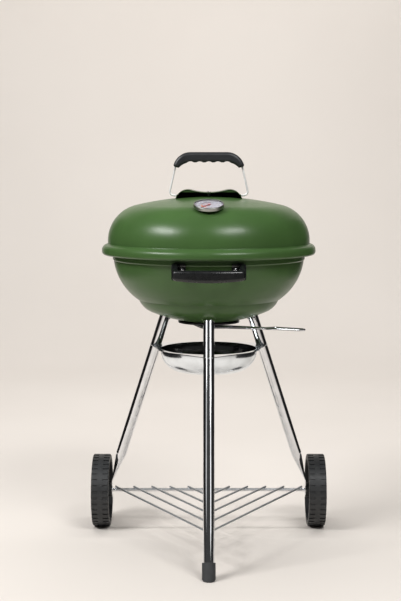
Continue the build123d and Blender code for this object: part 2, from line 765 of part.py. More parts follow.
def handle_screw_places():
    """Frames on the bowl's outer face at the two handle screws, Z out of the bowl."""
    angle = asind((HANDLE_SCREW_Z - SIDE_Z) / BOWL_SIDE_R)
    radius = bowl_radius(HANDLE_SCREW_Z)
    seat = Pos(radius, 0, HANDLE_SCREW_Z) * Rot(0, 90 - angle, 0)
    aside = asind(HANDLE_SCREW_X / radius)
    return [Rot(0, 0, FRONT_DEG + side * aside) * seat for side in (-1, 1)]


def make_bowl_handle():
    """Curved grip with a bowed lower edge, on two arms that slope up to pads on the bowl."""
    middle_r = HANDLE_R - HANDLE_T / 2
    half = HANDLE_R * sind(HANDLE_SPAN_DEG / 2)
    high = HANDLE_LOW_Z + HANDLE_H
    end_low = HANDLE_LOW_Z + HANDLE_BOW
    belly = ThreePointArc((half, end_low), (0, HANDLE_LOW_Z), (-half, end_low))
    sides = chain((-half, end_low), (-half, high), (half, high), (half, end_low))
    front_view = Face(Wire(sides + [belly]))
    front_view = fillet(front_view.vertices(), HANDLE_END_ROUND)
    band = Pos(middle_r, HANDLE_LOW_Z + HANDLE_H / 2) * Rectangle(HANDLE_T, HANDLE_H)
    band = revolve(Plane.XZ * band, Axis.Z, 2 * HANDLE_SPAN_DEG)
    front_view = extrude(Plane.YZ * front_view, 2 * HANDLE_R, both=True)
    grip = Rot(0, 0, -HANDLE_SPAN_DEG) * band & front_view
    grip = fillet(grip.edges(), HANDLE_ROUND)
    front = math.sqrt(middle_r**2 - ARM_X**2)
    knee = math.sqrt(BOWL_R**2 - ARM_X**2) + ARM_KNEE
    inside = knee - BOWL_SIDE_R / 4
    outline = (
        (inside, PAD_LOW_Z),
        (inside, PAD_TOP_Z),
        (knee, PAD_TOP_Z),
        (front, HANDLE_LOW_Z + HANDLE_H - FIT),
        (front, HANDLE_LOW_Z + ARM_UP),
        (knee, PAD_LOW_Z),
    )
    arm = extrude(Plane.XZ * Face(Wire(chain(*outline, outline[0]))), ARM_W / 2, both=True)
    arm = fillet(arm.faces().filter_by(Axis.Y).edges(), ARM_ROUND)
    pad_z = (PAD_LOW_Z + PAD_TOP_Z) / 2
    pad = RectangleRounded(PAD_W, PAD_TOP_Z - PAD_LOW_Z, PAD_ROUND)
    pad = Pos(inside, 0, pad_z) * extrude(Plane.YZ * pad, BOWL_SIDE_R)
    turn = Rot(0, 0, FRONT_DEG)
    body = turn * grip + [turn * Pos(0, side * ARM_X, 0) * arm for side in (-1, 1)]
    body = body + [turn * Pos(0, side * PAD_X, 0) * pad & bowl_blank(PAD_T + FIT) for side in (-1, 1)]
    holes = [place * Cylinder(HANDLE_SCREW_R + FIT, 4 * PAD_T) for place in handle_screw_places()]
    return body - bowl_blank(FIT) - holes


def make_handle_screw():
    seat = PAD_T + 2 * FIT
    end = -WALL - SEAT_GAP - HANDLE_NUT_T - BOLT_PAST_NUT
    return dome_head(HANDLE_SCREW_HEAD_R, HANDLE_SCREW_HEAD_T, seat) + rod(HANDLE_SCREW_R, end, seat)


def make_handle_nut():
    low = -WALL - SEAT_GAP - HANDLE_NUT_T
    return hex_nut(HANDLE_NUT_FLATS, HANDLE_SCREW_R + FIT, low, HANDLE_NUT_T)


def damper_low_z():
    return BOWL_BOTTOM_Z - TURN_GAP - DAMPER_T


def make_bottom_damper():
    """Disc that follows the bowl's bottom, shut over the vents, with a turned down lip."""
    centre = (0, BOWL_BOTTOM_Z + BOWL_BOTTOM_R)
    hole = PIVOT_R + RUN_CLEARANCE

    def span(radius):
        start = -90 + asind(hole / radius)
        return arc(centre, radius, start, -90 + asind(DAMPER_FLAT_R / radius))

    top = span(BOWL_BOTTOM_R + TURN_GAP)
    low = span(BOWL_BOTTOM_R + TURN_GAP + DAMPER_T)
    edge_z = (top @ 1).Y - DAMPER_DROP
    lip_z = edge_z - DAMPER_LIP
    rim = chain(
        top @ 1,
        (DAMPER_R, edge_z),
        (DAMPER_R, lip_z),
        (DAMPER_R - DAMPER_T, lip_z),
        (DAMPER_R - DAMPER_T, edge_z - DAMPER_T),
        low @ 1,
    )
    disc = lathe([top, low, Line(top @ 0, low @ 0)] + rim)
    vent = Pos(VENT_RING_R, 0, BOWL_BOTTOM_Z) * Cylinder(VENT_HOLE_R, BOWL_DEPTH / 2)
    return disc - ring_of(vent, VENTS, VENT_FIRST_DEG + 180 / VENTS)


def make_lever():
    """One wire welded under the damper at its tail, hanging clear of the pivot."""
    under_r = BOWL_BOTTOM_R + TURN_GAP + DAMPER_T + FIT + LEVER_WIRE_R
    tail = math.sqrt(under_r**2 - LEVER_BACK**2 - LEVER_SPREAD**2)
    top = BOWL_BOTTOM_Z + BOWL_BOTTOM_R - tail
    z = damper_low_z() - LEVER_HANG
    run = (
        (-LEVER_BACK, LEVER_SPREAD, top),
        (-LEVER_REST_X, LEVER_SPREAD, z),
        (LEVER_STRAIGHT, LEVER_SPREAD, z),
        (LEVER_NECK_X, LEVER_NECK_Y, z - LEVER_NECK_DROP),
        (LEVER_LOOP_X, LEVER_LOOP_Y, z - LEVER_NECK_DROP),
        (LEVER_END_X, LEVER_END_Y, z - LEVER_TIP_DROP),
        (LEVER_TIP_X, LEVER_TIP_Y, z - LEVER_TIP_DROP),
    )
    back = [(x, -y, height) for x, y, height in reversed(run)]
    return wire(FilletPolyline(*run, *back, radius=LEVER_BENDS), LEVER_WIRE_R)


def pivot_nut_z():
    return damper_low_z() - TURN_GAP - PIVOT_NUT_T


def make_damper_bolt():
    seat = BOWL_BOTTOM_Z + WALL + SEAT_GAP
    return dome_head(PIVOT_HEAD_R, PIVOT_HEAD_T, seat) + rod(PIVOT_R, pivot_nut_z() - BOLT_PAST_NUT, seat)


def make_damper_nut():
    return hex_nut(PIVOT_NUT_FLATS, PIVOT_R + FIT, pivot_nut_z(), PIVOT_NUT_T)


def make_lid_vent():
    """Turning disc in the vent's frame, curved like the crown, with a finger tab."""
    inner = RIVET_R + RUN_CLEARANCE

    def span(radius):
        return arc((0, -CROWN_R), radius, 90 - asind(inner / radius), 90 - asind(LID_VENT_R / radius))

    low = span(CROWN_R + TURN_GAP)
    top = span(CROWN_R + TURN_GAP + DAMPER_T)
    disc = lathe([low, top, Line(low @ 0, top @ 0), Line(low @ 1, top @ 1)])
    hole = Pos(LID_VENT_RING_R, 0, 0) * Cylinder(LID_VENT_HOLE_R, LID_VENT_R)
    tab_z = (low @ 1).Y + DAMPER_T / 2
    tab = Pos(LID_VENT_R - DAMPER_T, 0, tab_z) * Box(
        DAMPER_T, LID_VENT_TAB, LID_VENT_TAB_RISE, align=(Align.CENTER, Align.CENTER, Align.MIN)
    )
    return disc - ring_of(hole, LID_VENTS, 180 / LID_VENTS) + tab


def make_lid_rivet():
    seat = DAMPER_T + 2 * TURN_GAP
    foot = -WALL - FIT
    low = foot - RIVET_HEAD_T
    head = dome_head(RIVET_HEAD_R, RIVET_HEAD_T, seat)
    return head + rod(RIVET_R, low, seat) + rod(RIVET_HEAD_R, low, foot)


def lid_blank(grow):
    """The lid's dome as a filled body, grown by a gap."""
    edges = lid_line(-grow)[:2]
    return lathe(edges + chain(edges[-1] @ 1, (0, SHOULDER_Z), edges[0] @ 0))


def bail_path():
    return Plane.XZ * FilletPolyline(
        (-BAIL_FOOT_X, BAIL_Z),
        (BAIL_FOOT_X, BAIL_Z),
        (BAIL_TOP_X, BAIL_TOP_Z),
        (-BAIL_TOP_X, BAIL_TOP_Z),
        radius=(BAIL_FOOT_BEND, BAIL_FOOT_BEND, BAIL_TOP_BEND, BAIL_TOP_BEND),
        close=True,
    )


def make_grip():
    """Rounded grip with finger grooves below, bored along the bail."""
    top = BAIL_TOP_Z + GRIP_TOP
    under = BAIL_TOP_Z - GRIP_UNDER
    edges = [
        Line((-GRIP_FLAT_X, top), (GRIP_FLAT_X, top)),
        Line((-GRIP_UNDER_X, under), (GRIP_UNDER_X, under)),
    ]
    for side in (-1, 1):
        end = (side * GRIP_END_X, BAIL_TOP_Z - GRIP_END_DROP)
        tip = (side * GRIP_TIP_X, BAIL_TOP_Z - GRIP_TIP_DROP)
        edges.append(TangentArc((side * GRIP_FLAT_X, top), end, tangent=(side, 0)))
        edges.append(Line(end, tip))
        edges.append(TangentArc((side * GRIP_UNDER_X, under), tip, tangent=(side, 0)))
    body = extrude(Plane.XZ * Face(Wire(edges)), GRIP_DEPTH / 2, both=True)
    corners = body.edges().filter_by(Axis.Y).group_by(Axis.Z)[:2]
    body = fillet(corners[0] + corners[1], GRIP_END_ROUND)
    body = fillet(body.faces().filter_by(Axis.Y).edges(), GRIP_ROUND)
    grooves = []
    for i in range(GRIP_WAVES + 1):
        x = GRIP_UNDER_X * (2 * i / GRIP_WAVES - 1)
        place = Pos(x, 0, under + GRIP_WAVE - GRIP_FINGER_R) * Rot(90, 0, 0)
        grooves.append(place * Cylinder(GRIP_FINGER_R, 2 * GRIP_DEPTH))
    return body - grooves - wire(bail_path(), BAIL_R + FIT)


def make_shield():
    """Bent plate with a dip between two humps, a front lip and a back skirt."""
    reach = (SHIELD_HUMP_X**2 + SHIELD_HUMP_RISE**2) / (2 * SHIELD_HUMP_RISE)
    dip_r = reach - SHIELD_HUMP_R
    dip_z = SHIELD_DIP_Z + dip_r
    hump_z = SHIELD_DIP_Z + SHIELD_HUMP_RISE - SHIELD_HUMP_R
    meet = math.degrees(math.atan2(hump_z - dip_z, SHIELD_HUMP_X))

    def line(inset):
        hump_r = SHIELD_HUMP_R - inset
        return [
            arc((-SHIELD_HUMP_X, hump_z), hump_r, 180 - SHIELD_END_DEG, -meet),
            arc((0, dip_z), dip_r + inset, -180 - meet, meet),
            arc((SHIELD_HUMP_X, hump_z), hump_r, 180 + meet, SHIELD_END_DEG),
        ]

    top = line(0)
    low = line(SHIELD_T)
    edges = top + low + [Line(top[0] @ 0, low[0] @ 0), Line(top[-1] @ 1, low[-1] @ 1)]
    plate = extrude(Plane.XZ * Face(Wire(edges)), SHIELD_DEPTH / 2, both=True)
    sheet = extrude(Plane.XZ * Face(Wire(top + [Line(top[-1] @ 1, top[0] @ 0)])), SHIELD_T)
    lip = Pos(0, SHIELD_T - SHIELD_DEPTH / 2, 0) * sheet - below(SHIELD_DIP_Z + SHIELD_LIP)
    skirt = Pos(0, SHIELD_DEPTH / 2, 0) * sheet
    side = Rot(0, 90, 0) * rod(BAIL_R + FIT, SHIELD_HUMP_X, 2 * SHIELD_HUMP_X)
    cuts = [Pos(0, 0, BAIL_Z) * hole for hole in (side, mirrored(side))]
    for y in (-SHIELD_BOLT_Y, SHIELD_BOLT_Y):
        cuts.append(Pos(0, y, SHIELD_DIP_Z) * Cylinder(SHIELD_BOLT_R + FIT, 8 * SHIELD_T))
    return plate + lip + skirt - lid_blank(FIT) - cuts


def shield_nut_z():
    return lid_surface(SHIELD_BOLT_Y)[0] - WALL - SEAT_GAP - SHIELD_NUT_T


def make_shield_spacer():
    """Sleeve round a shield bolt that holds the dip clear of the lid."""
    low = shield_nut_z()
    return tube(SPACER_R, SHIELD_BOLT_R + FIT, low, SHIELD_DIP_Z - SHIELD_T - FIT)


def make_shield_bolt():
    seat = SHIELD_DIP_Z + SEAT_GAP
    end = shield_nut_z() - BOLT_PAST_NUT
    return dome_head(SHIELD_HEAD_R, SHIELD_HEAD_T, seat) + rod(SHIELD_BOLT_R, end, seat)


def make_shield_nut():
    return hex_nut(SHIELD_NUT_FLATS, SHIELD_BOLT_R + FIT, shield_nut_z(), SHIELD_NUT_T)


# Heights in the thermometer's frame
CASE_TOP = CASE_LIFT + CASE_H
DIAL_R = CASE_R - CASE_WALL - FIT
DIAL_LOW = CASE_LIFT + CASE_WALL + FIT
DIAL_TOP = DIAL_LOW + DIAL_LIFT + DIAL_T


def make_thermometer_case():
    turn_r = CASE_R - CASE_ROUND
    foot = arc((turn_r, CASE_LIFT + CASE_ROUND), CASE_ROUND, -90, 0)
    brow = arc((turn_r, CASE_TOP - CASE_ROUND), CASE_ROUND, 0, 90)
    inside = CASE_R - CASE_WALL
    lip = CASE_R - BEZEL_LIP
    back = chain(
        brow @ 1,
        (lip, CASE_TOP),
        (lip, CASE_TOP - CASE_WALL),
        (inside, CASE_TOP - CASE_WALL),
        (inside, CASE_LIFT + CASE_WALL),
        (0, CASE_LIFT + CASE_WALL),
        (0, CASE_LIFT),
        foot @ 0,
    )
    return lathe([foot, Line(foot @ 1, brow @ 0), brow] + back)


def make_dial():
    hole = NEEDLE_PIN_R + RUN_CLEARANCE
    return turned(
        (hole, DIAL_TOP - DIAL_T),
        (DIAL_R - DIAL_SKIRT, DIAL_TOP - DIAL_T),
        (DIAL_R - DIAL_SKIRT, DIAL_LOW),
        (DIAL_R, DIAL_LOW),
        (DIAL_R, DIAL_TOP),
        (hole, DIAL_TOP),
    )


def make_needle():
    low = DIAL_TOP + NEEDLE_LIFT
    length = NEEDLE_LENGTH + NEEDLE_TAIL
    blade = Circle(NEEDLE_HUB_R) + Pos((NEEDLE_LENGTH - NEEDLE_TAIL) / 2, 0) * Rectangle(length, NEEDLE_W)
    needle = Pos(0, 0, low) * extrude(blade, NEEDLE_T) + rod(NEEDLE_PIN_R, DIAL_TOP - NEEDLE_PIN, low)
    return Rot(0, 0, NEEDLE_REST_DEG) * needle


def make_lens():
    top = CASE_TOP - CASE_WALL - FIT
    return rod(DIAL_R, top - LENS_T, top)


def make_stem():
    collar = rod(STEM_COLLAR_R, FIT, CASE_LIFT - FIT)
    return collar + rod(STEM_R, -STEM_THREAD, FIT) + rod(PROBE_R, -STEM_THREAD - PROBE_LENGTH, -STEM_THREAD)


def make_thermometer_nut():
    low = -WALL - THERMO_NUT_DROP - THERMO_NUT_T
    return hex_nut(THERMO_NUT_FLATS, STEM_R + FIT, low, THERMO_NUT_T)


def build():
    legs = [leg_place(azimuth) for azimuth in (FRONT_DEG, LEFT_DEG, RIGHT_DEG)]
    screws = handle_screw_places()
    vent = lid_place(LID_VENT_AT_R, -FRONT_DEG)
    dial = lid_place(DIAL_AT_R, FRONT_DEG)
    bolts = [Pos(0, y, 0) for y in (-SHIELD_BOLT_Y, SHIELD_BOLT_Y)]
    right_leg = make_right_lower_leg()
    right_wheel = make_wheel()
    washer = make_washer()
    axle_cap = make_axle_cap()
    return {
        "bowl_base": make_bowl_base(),
        "bowl_shell": make_bowl(),
        "bowl_rim": make_bowl_rim(),
        "leg_sockets": [make_socket(azimuth) for azimuth in (FRONT_DEG, LEFT_DEG, RIGHT_DEG)],
        "grate_brackets": [Rot(0, 0, azimuth) * make_bracket() for azimuth in BRACKETS_DEG],
        "bowl_handle": make_bowl_handle(),
        "bowl_handle_screws": [place * make_handle_screw() for place in screws],
        "bowl_handle_nuts": [place * make_handle_nut() for place in screws],
        "damper_bolt": make_damper_bolt(),
        "damper_nut": make_damper_nut(),
        "bottom_damper": make_bottom_damper(),
        "damper_lever": make_lever(),
        "cooking_grate": make_grate(GRATE_R, GRATE_WIRE_R, GRATE_PITCH, GRATE_Z),
        "charcoal_grate": make_grate(COAL_R, COAL_WIRE_R, COAL_PITCH, LEDGE_Z + WALL + FIT),
        "front_leg_upper": make_upper_leg(FRONT_DEG),
        "left_leg_upper": make_upper_leg(LEFT_DEG),
        "right_leg_upper": make_upper_leg(RIGHT_DEG),
        "leg_screws": [place * make_leg_screw() for place in legs],
        "front_leg_lower": make_front_lower_leg(),
        "left_leg_lower": mirrored(right_leg),
        "right_leg_lower": right_leg,
        "front_foot_cap": make_foot_cap(),
        "ash_pan": make_ash_pan(),
        "axle": axle_place() * rod(AXLE_R, -AXLE_HALF, AXLE_HALF),
        "axle_washers": [washer, mirrored(washer)],
        "axle_caps": [axle_cap, mirrored(axle_cap)],
        "wheel_left": mirrored(right_wheel),
        "wheel_right": right_wheel,
        "bottom_rack": make_rack(),
        "rack_screw": make_rack_screw(),
        "lid_shell": make_lid(),
        "heat_shield": make_shield(),
        "lid_handle_bail": wire(bail_path(), BAIL_R),
        "lid_handle_grip": make_grip(),
        "shield_bolts": [place * make_shield_bolt() for place in bolts],
        "shield_nuts": [place * make_shield_nut() for place in bolts],
        "shield_spacers": [place * make_shield_spacer() - lid_blank(FIT) for place in bolts],
        "lid_vent_damper": vent * make_lid_vent(),
        "lid_vent_rivet": vent * make_lid_rivet(),
        "thermometer_case": dial * make_thermometer_case(),
        "thermometer_dial": dial * make_dial(),
        "thermometer_needle": dial * make_needle(),
        "thermometer_lens": dial * make_lens(),
        "thermometer_stem": dial * make_stem(),
        "thermometer_nut": dial * make_thermometer_nut(),
    }


os.makedirs("parts", exist_ok=True)
for name, shape in build().items():
    whole = Compound(shape) if isinstance(shape, list) else shape
    export_step(Pos(0, AXIS_Y, 0) * whole, "parts/" + name + ".step")
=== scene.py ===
# %% [markdown]
# # A kettle charcoal grill, dressed for its portrait
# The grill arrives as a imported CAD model: forty-five named pieces, each already at its real
# size and place, in metres. This lesson gives every piece its finish, models the small
# details that a drawing leaves out, and lights the result like a catalogue photograph.
# The CAD pieces are never moved. What we add is placed from the numbers that they carry.

import math

import bpy
from mathutils import Matrix, Vector


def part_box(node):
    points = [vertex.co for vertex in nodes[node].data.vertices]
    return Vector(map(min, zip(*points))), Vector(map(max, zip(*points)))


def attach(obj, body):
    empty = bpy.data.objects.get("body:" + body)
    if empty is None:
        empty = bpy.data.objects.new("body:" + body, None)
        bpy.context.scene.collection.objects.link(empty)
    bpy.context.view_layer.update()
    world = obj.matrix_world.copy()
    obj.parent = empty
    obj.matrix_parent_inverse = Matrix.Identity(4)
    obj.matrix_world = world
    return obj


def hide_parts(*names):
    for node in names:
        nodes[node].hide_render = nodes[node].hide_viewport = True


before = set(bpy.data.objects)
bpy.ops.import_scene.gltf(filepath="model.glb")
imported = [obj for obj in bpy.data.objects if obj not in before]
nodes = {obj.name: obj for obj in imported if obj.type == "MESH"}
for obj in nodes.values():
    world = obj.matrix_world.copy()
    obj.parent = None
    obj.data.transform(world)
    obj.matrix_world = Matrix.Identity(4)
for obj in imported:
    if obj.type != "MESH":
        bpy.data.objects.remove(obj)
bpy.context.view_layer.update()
bpy.ops.object.select_all(action="DESELECT")

rim_low, rim_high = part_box("lid_shell")
AXIS_Y = (rim_low.y + rim_high.y) / 2

# %% [markdown]
# ## The camera
# The photograph was taken from straight ahead, a little above the lid, with a long lens.
# The ellipses of the lid rim and of the ash pan fix how far the camera looks down, and the
# two wheels fix how far away it stands. A long lens on the real spot gives the same picture
# as the photograph, so nothing has to be bent to fit. A small sideways shift stands for the
# photograph's own framing, in which the grill sits a little right of the middle.

# %% Place the camera
FRAME_HEIGHT_PX = 601
FOCAL_PX = 1361
SENSOR_MM = 36
CAMERA_AWAY = 3.0
CAMERA_HEIGHT = 0.854
CAMERA_DOWN = 0.103
GRILL_RIGHT_OF_MIDDLE_PX = 8.3

bpy.ops.object.camera_add(
    location=(0, AXIS_Y - CAMERA_AWAY, CAMERA_HEIGHT),
    rotation=(math.pi / 2 - CAMERA_DOWN, 0, 0),
)
camera = bpy.context.object
camera.data.sensor_width = SENSOR_MM
camera.data.lens = FOCAL_PX / FRAME_HEIGHT_PX * SENSOR_MM
camera.data.shift_x = -GRILL_RIGHT_OF_MIDDLE_PX / FRAME_HEIGHT_PX
bpy.context.scene.camera = camera
print(f"camera lens {camera.data.lens:.1f} mm, {CAMERA_AWAY} m from the grill")

# %% [markdown]
# ## Picking part of a mesh
# Edit mode works on what is selected. One helper picks the points that pass a test, and with
# them every edge and face whose corners are all picked.

# %% Define the picking helper
def pick(piece, wanted):
    """Select the points of a piece that pass a test, with the edges and faces between them."""
    points = piece.data.vertices
    for point in points:
        point.select = wanted(point.co)
    for part in (*piece.data.edges, *piece.data.polygons):
        part.select = all(points[v].select for v in part.vertices)


print("picking helper ready")

# %% [markdown]
# ## The floor and the wall
# A studio sweep is one sheet of paper: it lies on the floor, bends, and goes up the wall, so that
# no line shows behind the product. We add a plane, pull its far edge up into a wall, and bevel the
# corner round.

# %% Make the paper sweep
SWEEP_SIDE = 16.0
WALL_AT_Y = 4.0
WALL_HEIGHT = 6.0
SWEEP_BEND = 1.6
SWEEP_BEND_STEPS = 24

bpy.ops.mesh.primitive_plane_add(size=SWEEP_SIDE, location=(0, WALL_AT_Y - SWEEP_SIDE / 2, 0))
sweep = bpy.context.object
sweep.name = "paper_sweep"
pick(sweep, lambda point: point.y > 0)
bpy.ops.object.mode_set(mode="EDIT")
bpy.ops.mesh.select_mode(type="EDGE")
bpy.ops.mesh.extrude_region_move(TRANSFORM_OT_translate={"value": (0, 0, WALL_HEIGHT)})
bpy.ops.object.mode_set(mode="OBJECT")
pick(sweep, lambda point: point.y > 0 and point.z < WALL_HEIGHT / 2)
bpy.ops.object.mode_set(mode="EDIT")
bpy.ops.mesh.bevel(offset=SWEEP_BEND, segments=SWEEP_BEND_STEPS, profile=0.5)
bpy.ops.object.mode_set(mode="OBJECT")
bpy.ops.object.shade_smooth()
print(f"paper sweep: {len(sweep.data.polygons)} faces, wall {WALL_AT_Y} m behind the origin")

# %% [markdown]
# ## A small kit for finishes
# Every finish below is a Principled shader with a few texture nodes in front of it. One helper
# makes a node and fills its sockets: a plain value is typed in, a socket is wired up. Another
# gives the object coordinates, which are metres on the real grill, so a texture scale of 400
# means grain of about 2.5 mm. Most of a noise lies between 0.3 and 0.7, which is the span that
# the helpers stretch.

# %% Define the finish helpers
NOISE_SPAN = (0.3, 0.7)
# A Mix node has several sockets of one name; these are the places of its colour sockets.
MIX_UNDER = 6
MIX_OVER = 7
MIX_RESULT = 2


def add_node(tree, kind, settings=None, **sockets):
    """Make a node, set its options, then type in or wire up the named sockets."""
    made = tree.nodes.new(kind)
    for name, value in (settings or {}).items():
        setattr(made, name, value)
    for name, value in sockets.items():
        socket = made.inputs[name.replace("_", " ")]
        if isinstance(value, bpy.types.NodeSocket):
            tree.links.new(value, socket)
        else:
            socket.default_value = value
    return made


def new_finish(name, **constants):
    """A new material: its node tree, its Principled shader and its object coordinates."""
    material = bpy.data.materials.new(name)
    material.use_nodes = True
    tree = material.node_tree
    shader = tree.nodes["Principled BSDF"]
    for socket, value in constants.items():
        shader.inputs[socket.replace("_", " ")].default_value = value
    coordinates = tree.nodes.new("ShaderNodeTexCoord")
    return material, tree, shader, coordinates


def grain(tree, where, scale, detail=3.0):
    """A noise whose lumps are about one part in `scale` of a metre."""
    made = add_node(tree, "ShaderNodeTexNoise", Vector=where, Scale=scale, Detail=detail)
    return made.outputs["Fac"]


def ramp(tree, amount, dark, light, low=0.35, high=0.65):
    """Turn a grey texture into a blend of two colours."""
    made = add_node(tree, "ShaderNodeValToRGB", Fac=amount)
    made.color_ramp.elements[0].position = low
    made.color_ramp.elements[0].color = (*dark, 1)
    made.color_ramp.elements[1].position = high
    made.color_ramp.elements[1].color = (*light, 1)
    return made.outputs["Color"]


def between(tree, amount, low, high):
    """Stretch a grey texture to run from low to high."""
    made = add_node(tree, "ShaderNodeMapRange", Value=amount)
    made.inputs["From Min"].default_value, made.inputs["From Max"].default_value = NOISE_SPAN
    made.inputs["To Min"].default_value = low
    made.inputs["To Max"].default_value = high
    return made.outputs["Result"]


def bump(tree, shader, height, depth):
    """Let a grey texture stand up from the surface by depth, in metres."""
    made = add_node(tree, "ShaderNodeBump", Height=height, Strength=1.0, Distance=depth)
    tree.links.new(made.outputs["Normal"], shader.inputs["Normal"])


def overlay(tree, shader, amount, colour):
    """Lay a fixed colour over the wired base colour where amount is 1."""
    under = shader.inputs["Base Color"].links[0].from_socket
    made = add_node(tree, "ShaderNodeMix", {"data_type": "RGBA"}, Factor=amount)
    tree.links.new(under, made.inputs[MIX_UNDER])
    made.inputs[MIX_OVER].default_value = colour
    tree.links.new(made.outputs[MIX_RESULT], shader.inputs["Base Color"])


def looks_in(tree, where, middle):
    """1 on faces that look back toward a point inside, and the way out from that point."""
    outward = add_node(tree, "ShaderNodeVectorMath", {"operation": "SUBTRACT"})
    tree.links.new(where.outputs["Object"], outward.inputs[0])
    outward.inputs[1].default_value = middle
    lean = add_node(tree, "ShaderNodeVectorMath", {"operation": "DOT_PRODUCT"})
    tree.links.new(outward.outputs["Vector"], lean.inputs[0])
    tree.links.new(where.outputs["Normal"], lean.inputs[1])
    inner = add_node(tree, "ShaderNodeMath", {"operation": "LESS_THAN"})
    tree.links.new(lean.outputs["Value"], inner.inputs[0])
    inner.inputs[1].default_value = 0.0
    return inner.outputs["Value"], outward.outputs["Vector"]


def dress(material, *names):
    """Give CAD pieces a finish."""
    for name in names:
        piece = nodes[name]
        piece.data.materials.clear()
        piece.data.materials.append(material)


print("finish helpers ready")

# %% [markdown]
# ## Paper
# The paper only has to be pale and quiet: a warm off-white with a trace of tone.

# %% Paper finish
PAPER = (0.74, 0.69, 0.64)
PAPER_SHADE = (0.71, 0.66, 0.61)

material, tree, shader, where = new_finish("sweep_paper", Roughness=0.9)
tone = grain(tree, where.outputs["Object"], 0.8)
tree.links.new(ramp(tree, tone, PAPER_SHADE, PAPER), shader.inputs["Base Color"])
sweep.data.materials.append(material)
print("paper finish on the sweep")

# %% [markdown]
# ## Vitreous enamel
# Lid, bowl, heat shield and leg sockets are steel coated with glass. Enamel is opaque colour under
# a clear gloss, flows into a faint orange peel as it melts, and is fired black on the faces that
# meet the fire. The black side needs no second mesh: a face whose normal looks back toward a point
# inside the kettle is an inner face, so the shader can tell the two apart. On the heat shield the
# same black, on the faces that look down toward the floor, is painted shade, and its green is
# dimmed as painted shade too.

# %% Enamel finish
ENAMEL_GREEN = (0.052, 0.112, 0.031)
ENAMEL_GREEN_DEEP = (0.047, 0.101, 0.028)
ENAMEL_BLACK_AND_SHADE = (0.010, 0.011, 0.011, 1)
ENAMEL_GLOSS = 0.34
ENAMEL_ROUGHNESS = (0.29, 0.33)
PEEL_DEPTH = 0.00002
LID_FIRE = (0, AXIS_Y, 0.60)
BOWL_FIRE = (0, AXIS_Y, 0.68)
# Painted shade: faces of the heat shield that look down toward this point are coloured black.
FLOOR_MIDDLE = (0, AXIS_Y, 0.0)
# Painted shade: the heat shield's green is dimmed to this share.
SHIELD_PAINTED_SHADE = 0.6


def enamel(name, black_toward, painted_shade=1.0):
    """Green enamel dimmed by painted_shade, black where a face looks toward the point black_toward:
    fired black inside the kettle, painted shade under the heat shield.
    """
    material, tree, shader, where = new_finish(name, Specular_IOR_Level=ENAMEL_GLOSS)
    place = where.outputs["Object"]
    deep = tuple(channel * painted_shade for channel in ENAMEL_GREEN_DEEP)
    clear = tuple(channel * painted_shade for channel in ENAMEL_GREEN)
    green = ramp(tree, grain(tree, place, 14), deep, clear)
    tree.links.new(green, shader.inputs["Base Color"])
    inner, _ = looks_in(tree, where, black_toward)
    overlay(tree, shader, inner, ENAMEL_BLACK_AND_SHADE)
    flow = between(tree, grain(tree, place, 60), *ENAMEL_ROUGHNESS)
    tree.links.new(flow, shader.inputs["Roughness"])
    bump(tree, shader, grain(tree, place, 420, 1.0), PEEL_DEPTH)
    return material


dress(enamel("lid_enamel", LID_FIRE), "lid_shell")
dress(enamel("bowl_enamel", BOWL_FIRE), "bowl_base", "bowl_shell", "bowl_rim")
# The heat shield gets painted shade: a dimmer green and a black underside.
dress(enamel("shield_enamel", FLOOR_MIDDLE, SHIELD_PAINTED_SHADE), "heat_shield")
dress(enamel("socket_enamel", BOWL_FIRE), "leg_sockets")
print("enamel on lid, bowl, shield and sockets")

# %% [markdown]
# ## Bare and plated metals
# The metals differ in how polished they are. Chrome is a mirror with faint smears. Zinc wire is
# dull and mottled, grates and fasteners sit in between, and the damper is dark steel; the shield
# spacers take the same dark as painted shade. A smear texture in the roughness does most of the
# work.

# %% Metal finishes
SMEAR_DARKENS = 0.88
SMEAR_FINER = 1.7
ZINC_METALLIC = 0.75
LEG_TUBES = (
    "front_leg_upper", "front_leg_lower", "left_leg_upper", "left_leg_lower",
    "right_leg_upper", "right_leg_lower",
)


def metal(name, colour, polished, smeared, smear_scale=35):
    """A metal whose roughness wanders between polished and smeared."""
    material, tree, shader, where = new_finish(name, Metallic=1.0)
    place = where.outputs["Object"]
    darker = tuple(channel * SMEAR_DARKENS for channel in colour)
    tone = ramp(tree, grain(tree, place, smear_scale), darker, colour)
    tree.links.new(tone, shader.inputs["Base Color"])
    smear = grain(tree, place, smear_scale * SMEAR_FINER, 4.0)
    tree.links.new(between(tree, smear, polished, smeared), shader.inputs["Roughness"])
    return material, tree, shader, where


chrome = metal("leg_chrome", (0.82, 0.83, 0.85), 0.04, 0.09)[0]
dress(chrome, *LEG_TUBES, "axle")

case_metal = metal("case_steel", (0.46, 0.47, 0.44), 0.33, 0.40)[0]
dress(case_metal, "thermometer_case")

zinc, tree, shader, where = metal("zinc_wire", (0.52, 0.54, 0.56), 0.30, 0.42, 120)
shader.inputs["Metallic"].default_value = ZINC_METALLIC
dress(zinc, "bottom_rack")

lever_metal = metal("lever_chrome", (0.62, 0.63, 0.65), 0.08, 0.15)[0]
dress(lever_metal, "damper_lever")

grate_metal = metal("plated_grate", (0.62, 0.62, 0.62), 0.22, 0.34, 90)[0]
dress(grate_metal, "cooking_grate", "charcoal_grate", "grate_brackets")

fastener_metal = metal("fastener_steel", (0.60, 0.60, 0.61), 0.18, 0.30, 160)[0]
dress(
    fastener_metal,
    "bowl_handle_screws", "bowl_handle_nuts", "damper_bolt", "damper_nut", "leg_screws",
    "axle_washers", "rack_screw", "shield_bolts", "shield_nuts", "lid_vent_damper",
    "lid_vent_rivet", "thermometer_stem", "thermometer_nut",
)

dark_steel_and_shade = metal("dark_steel_painted_shade", (0.10, 0.10, 0.105), 0.30, 0.42, 70)[0]
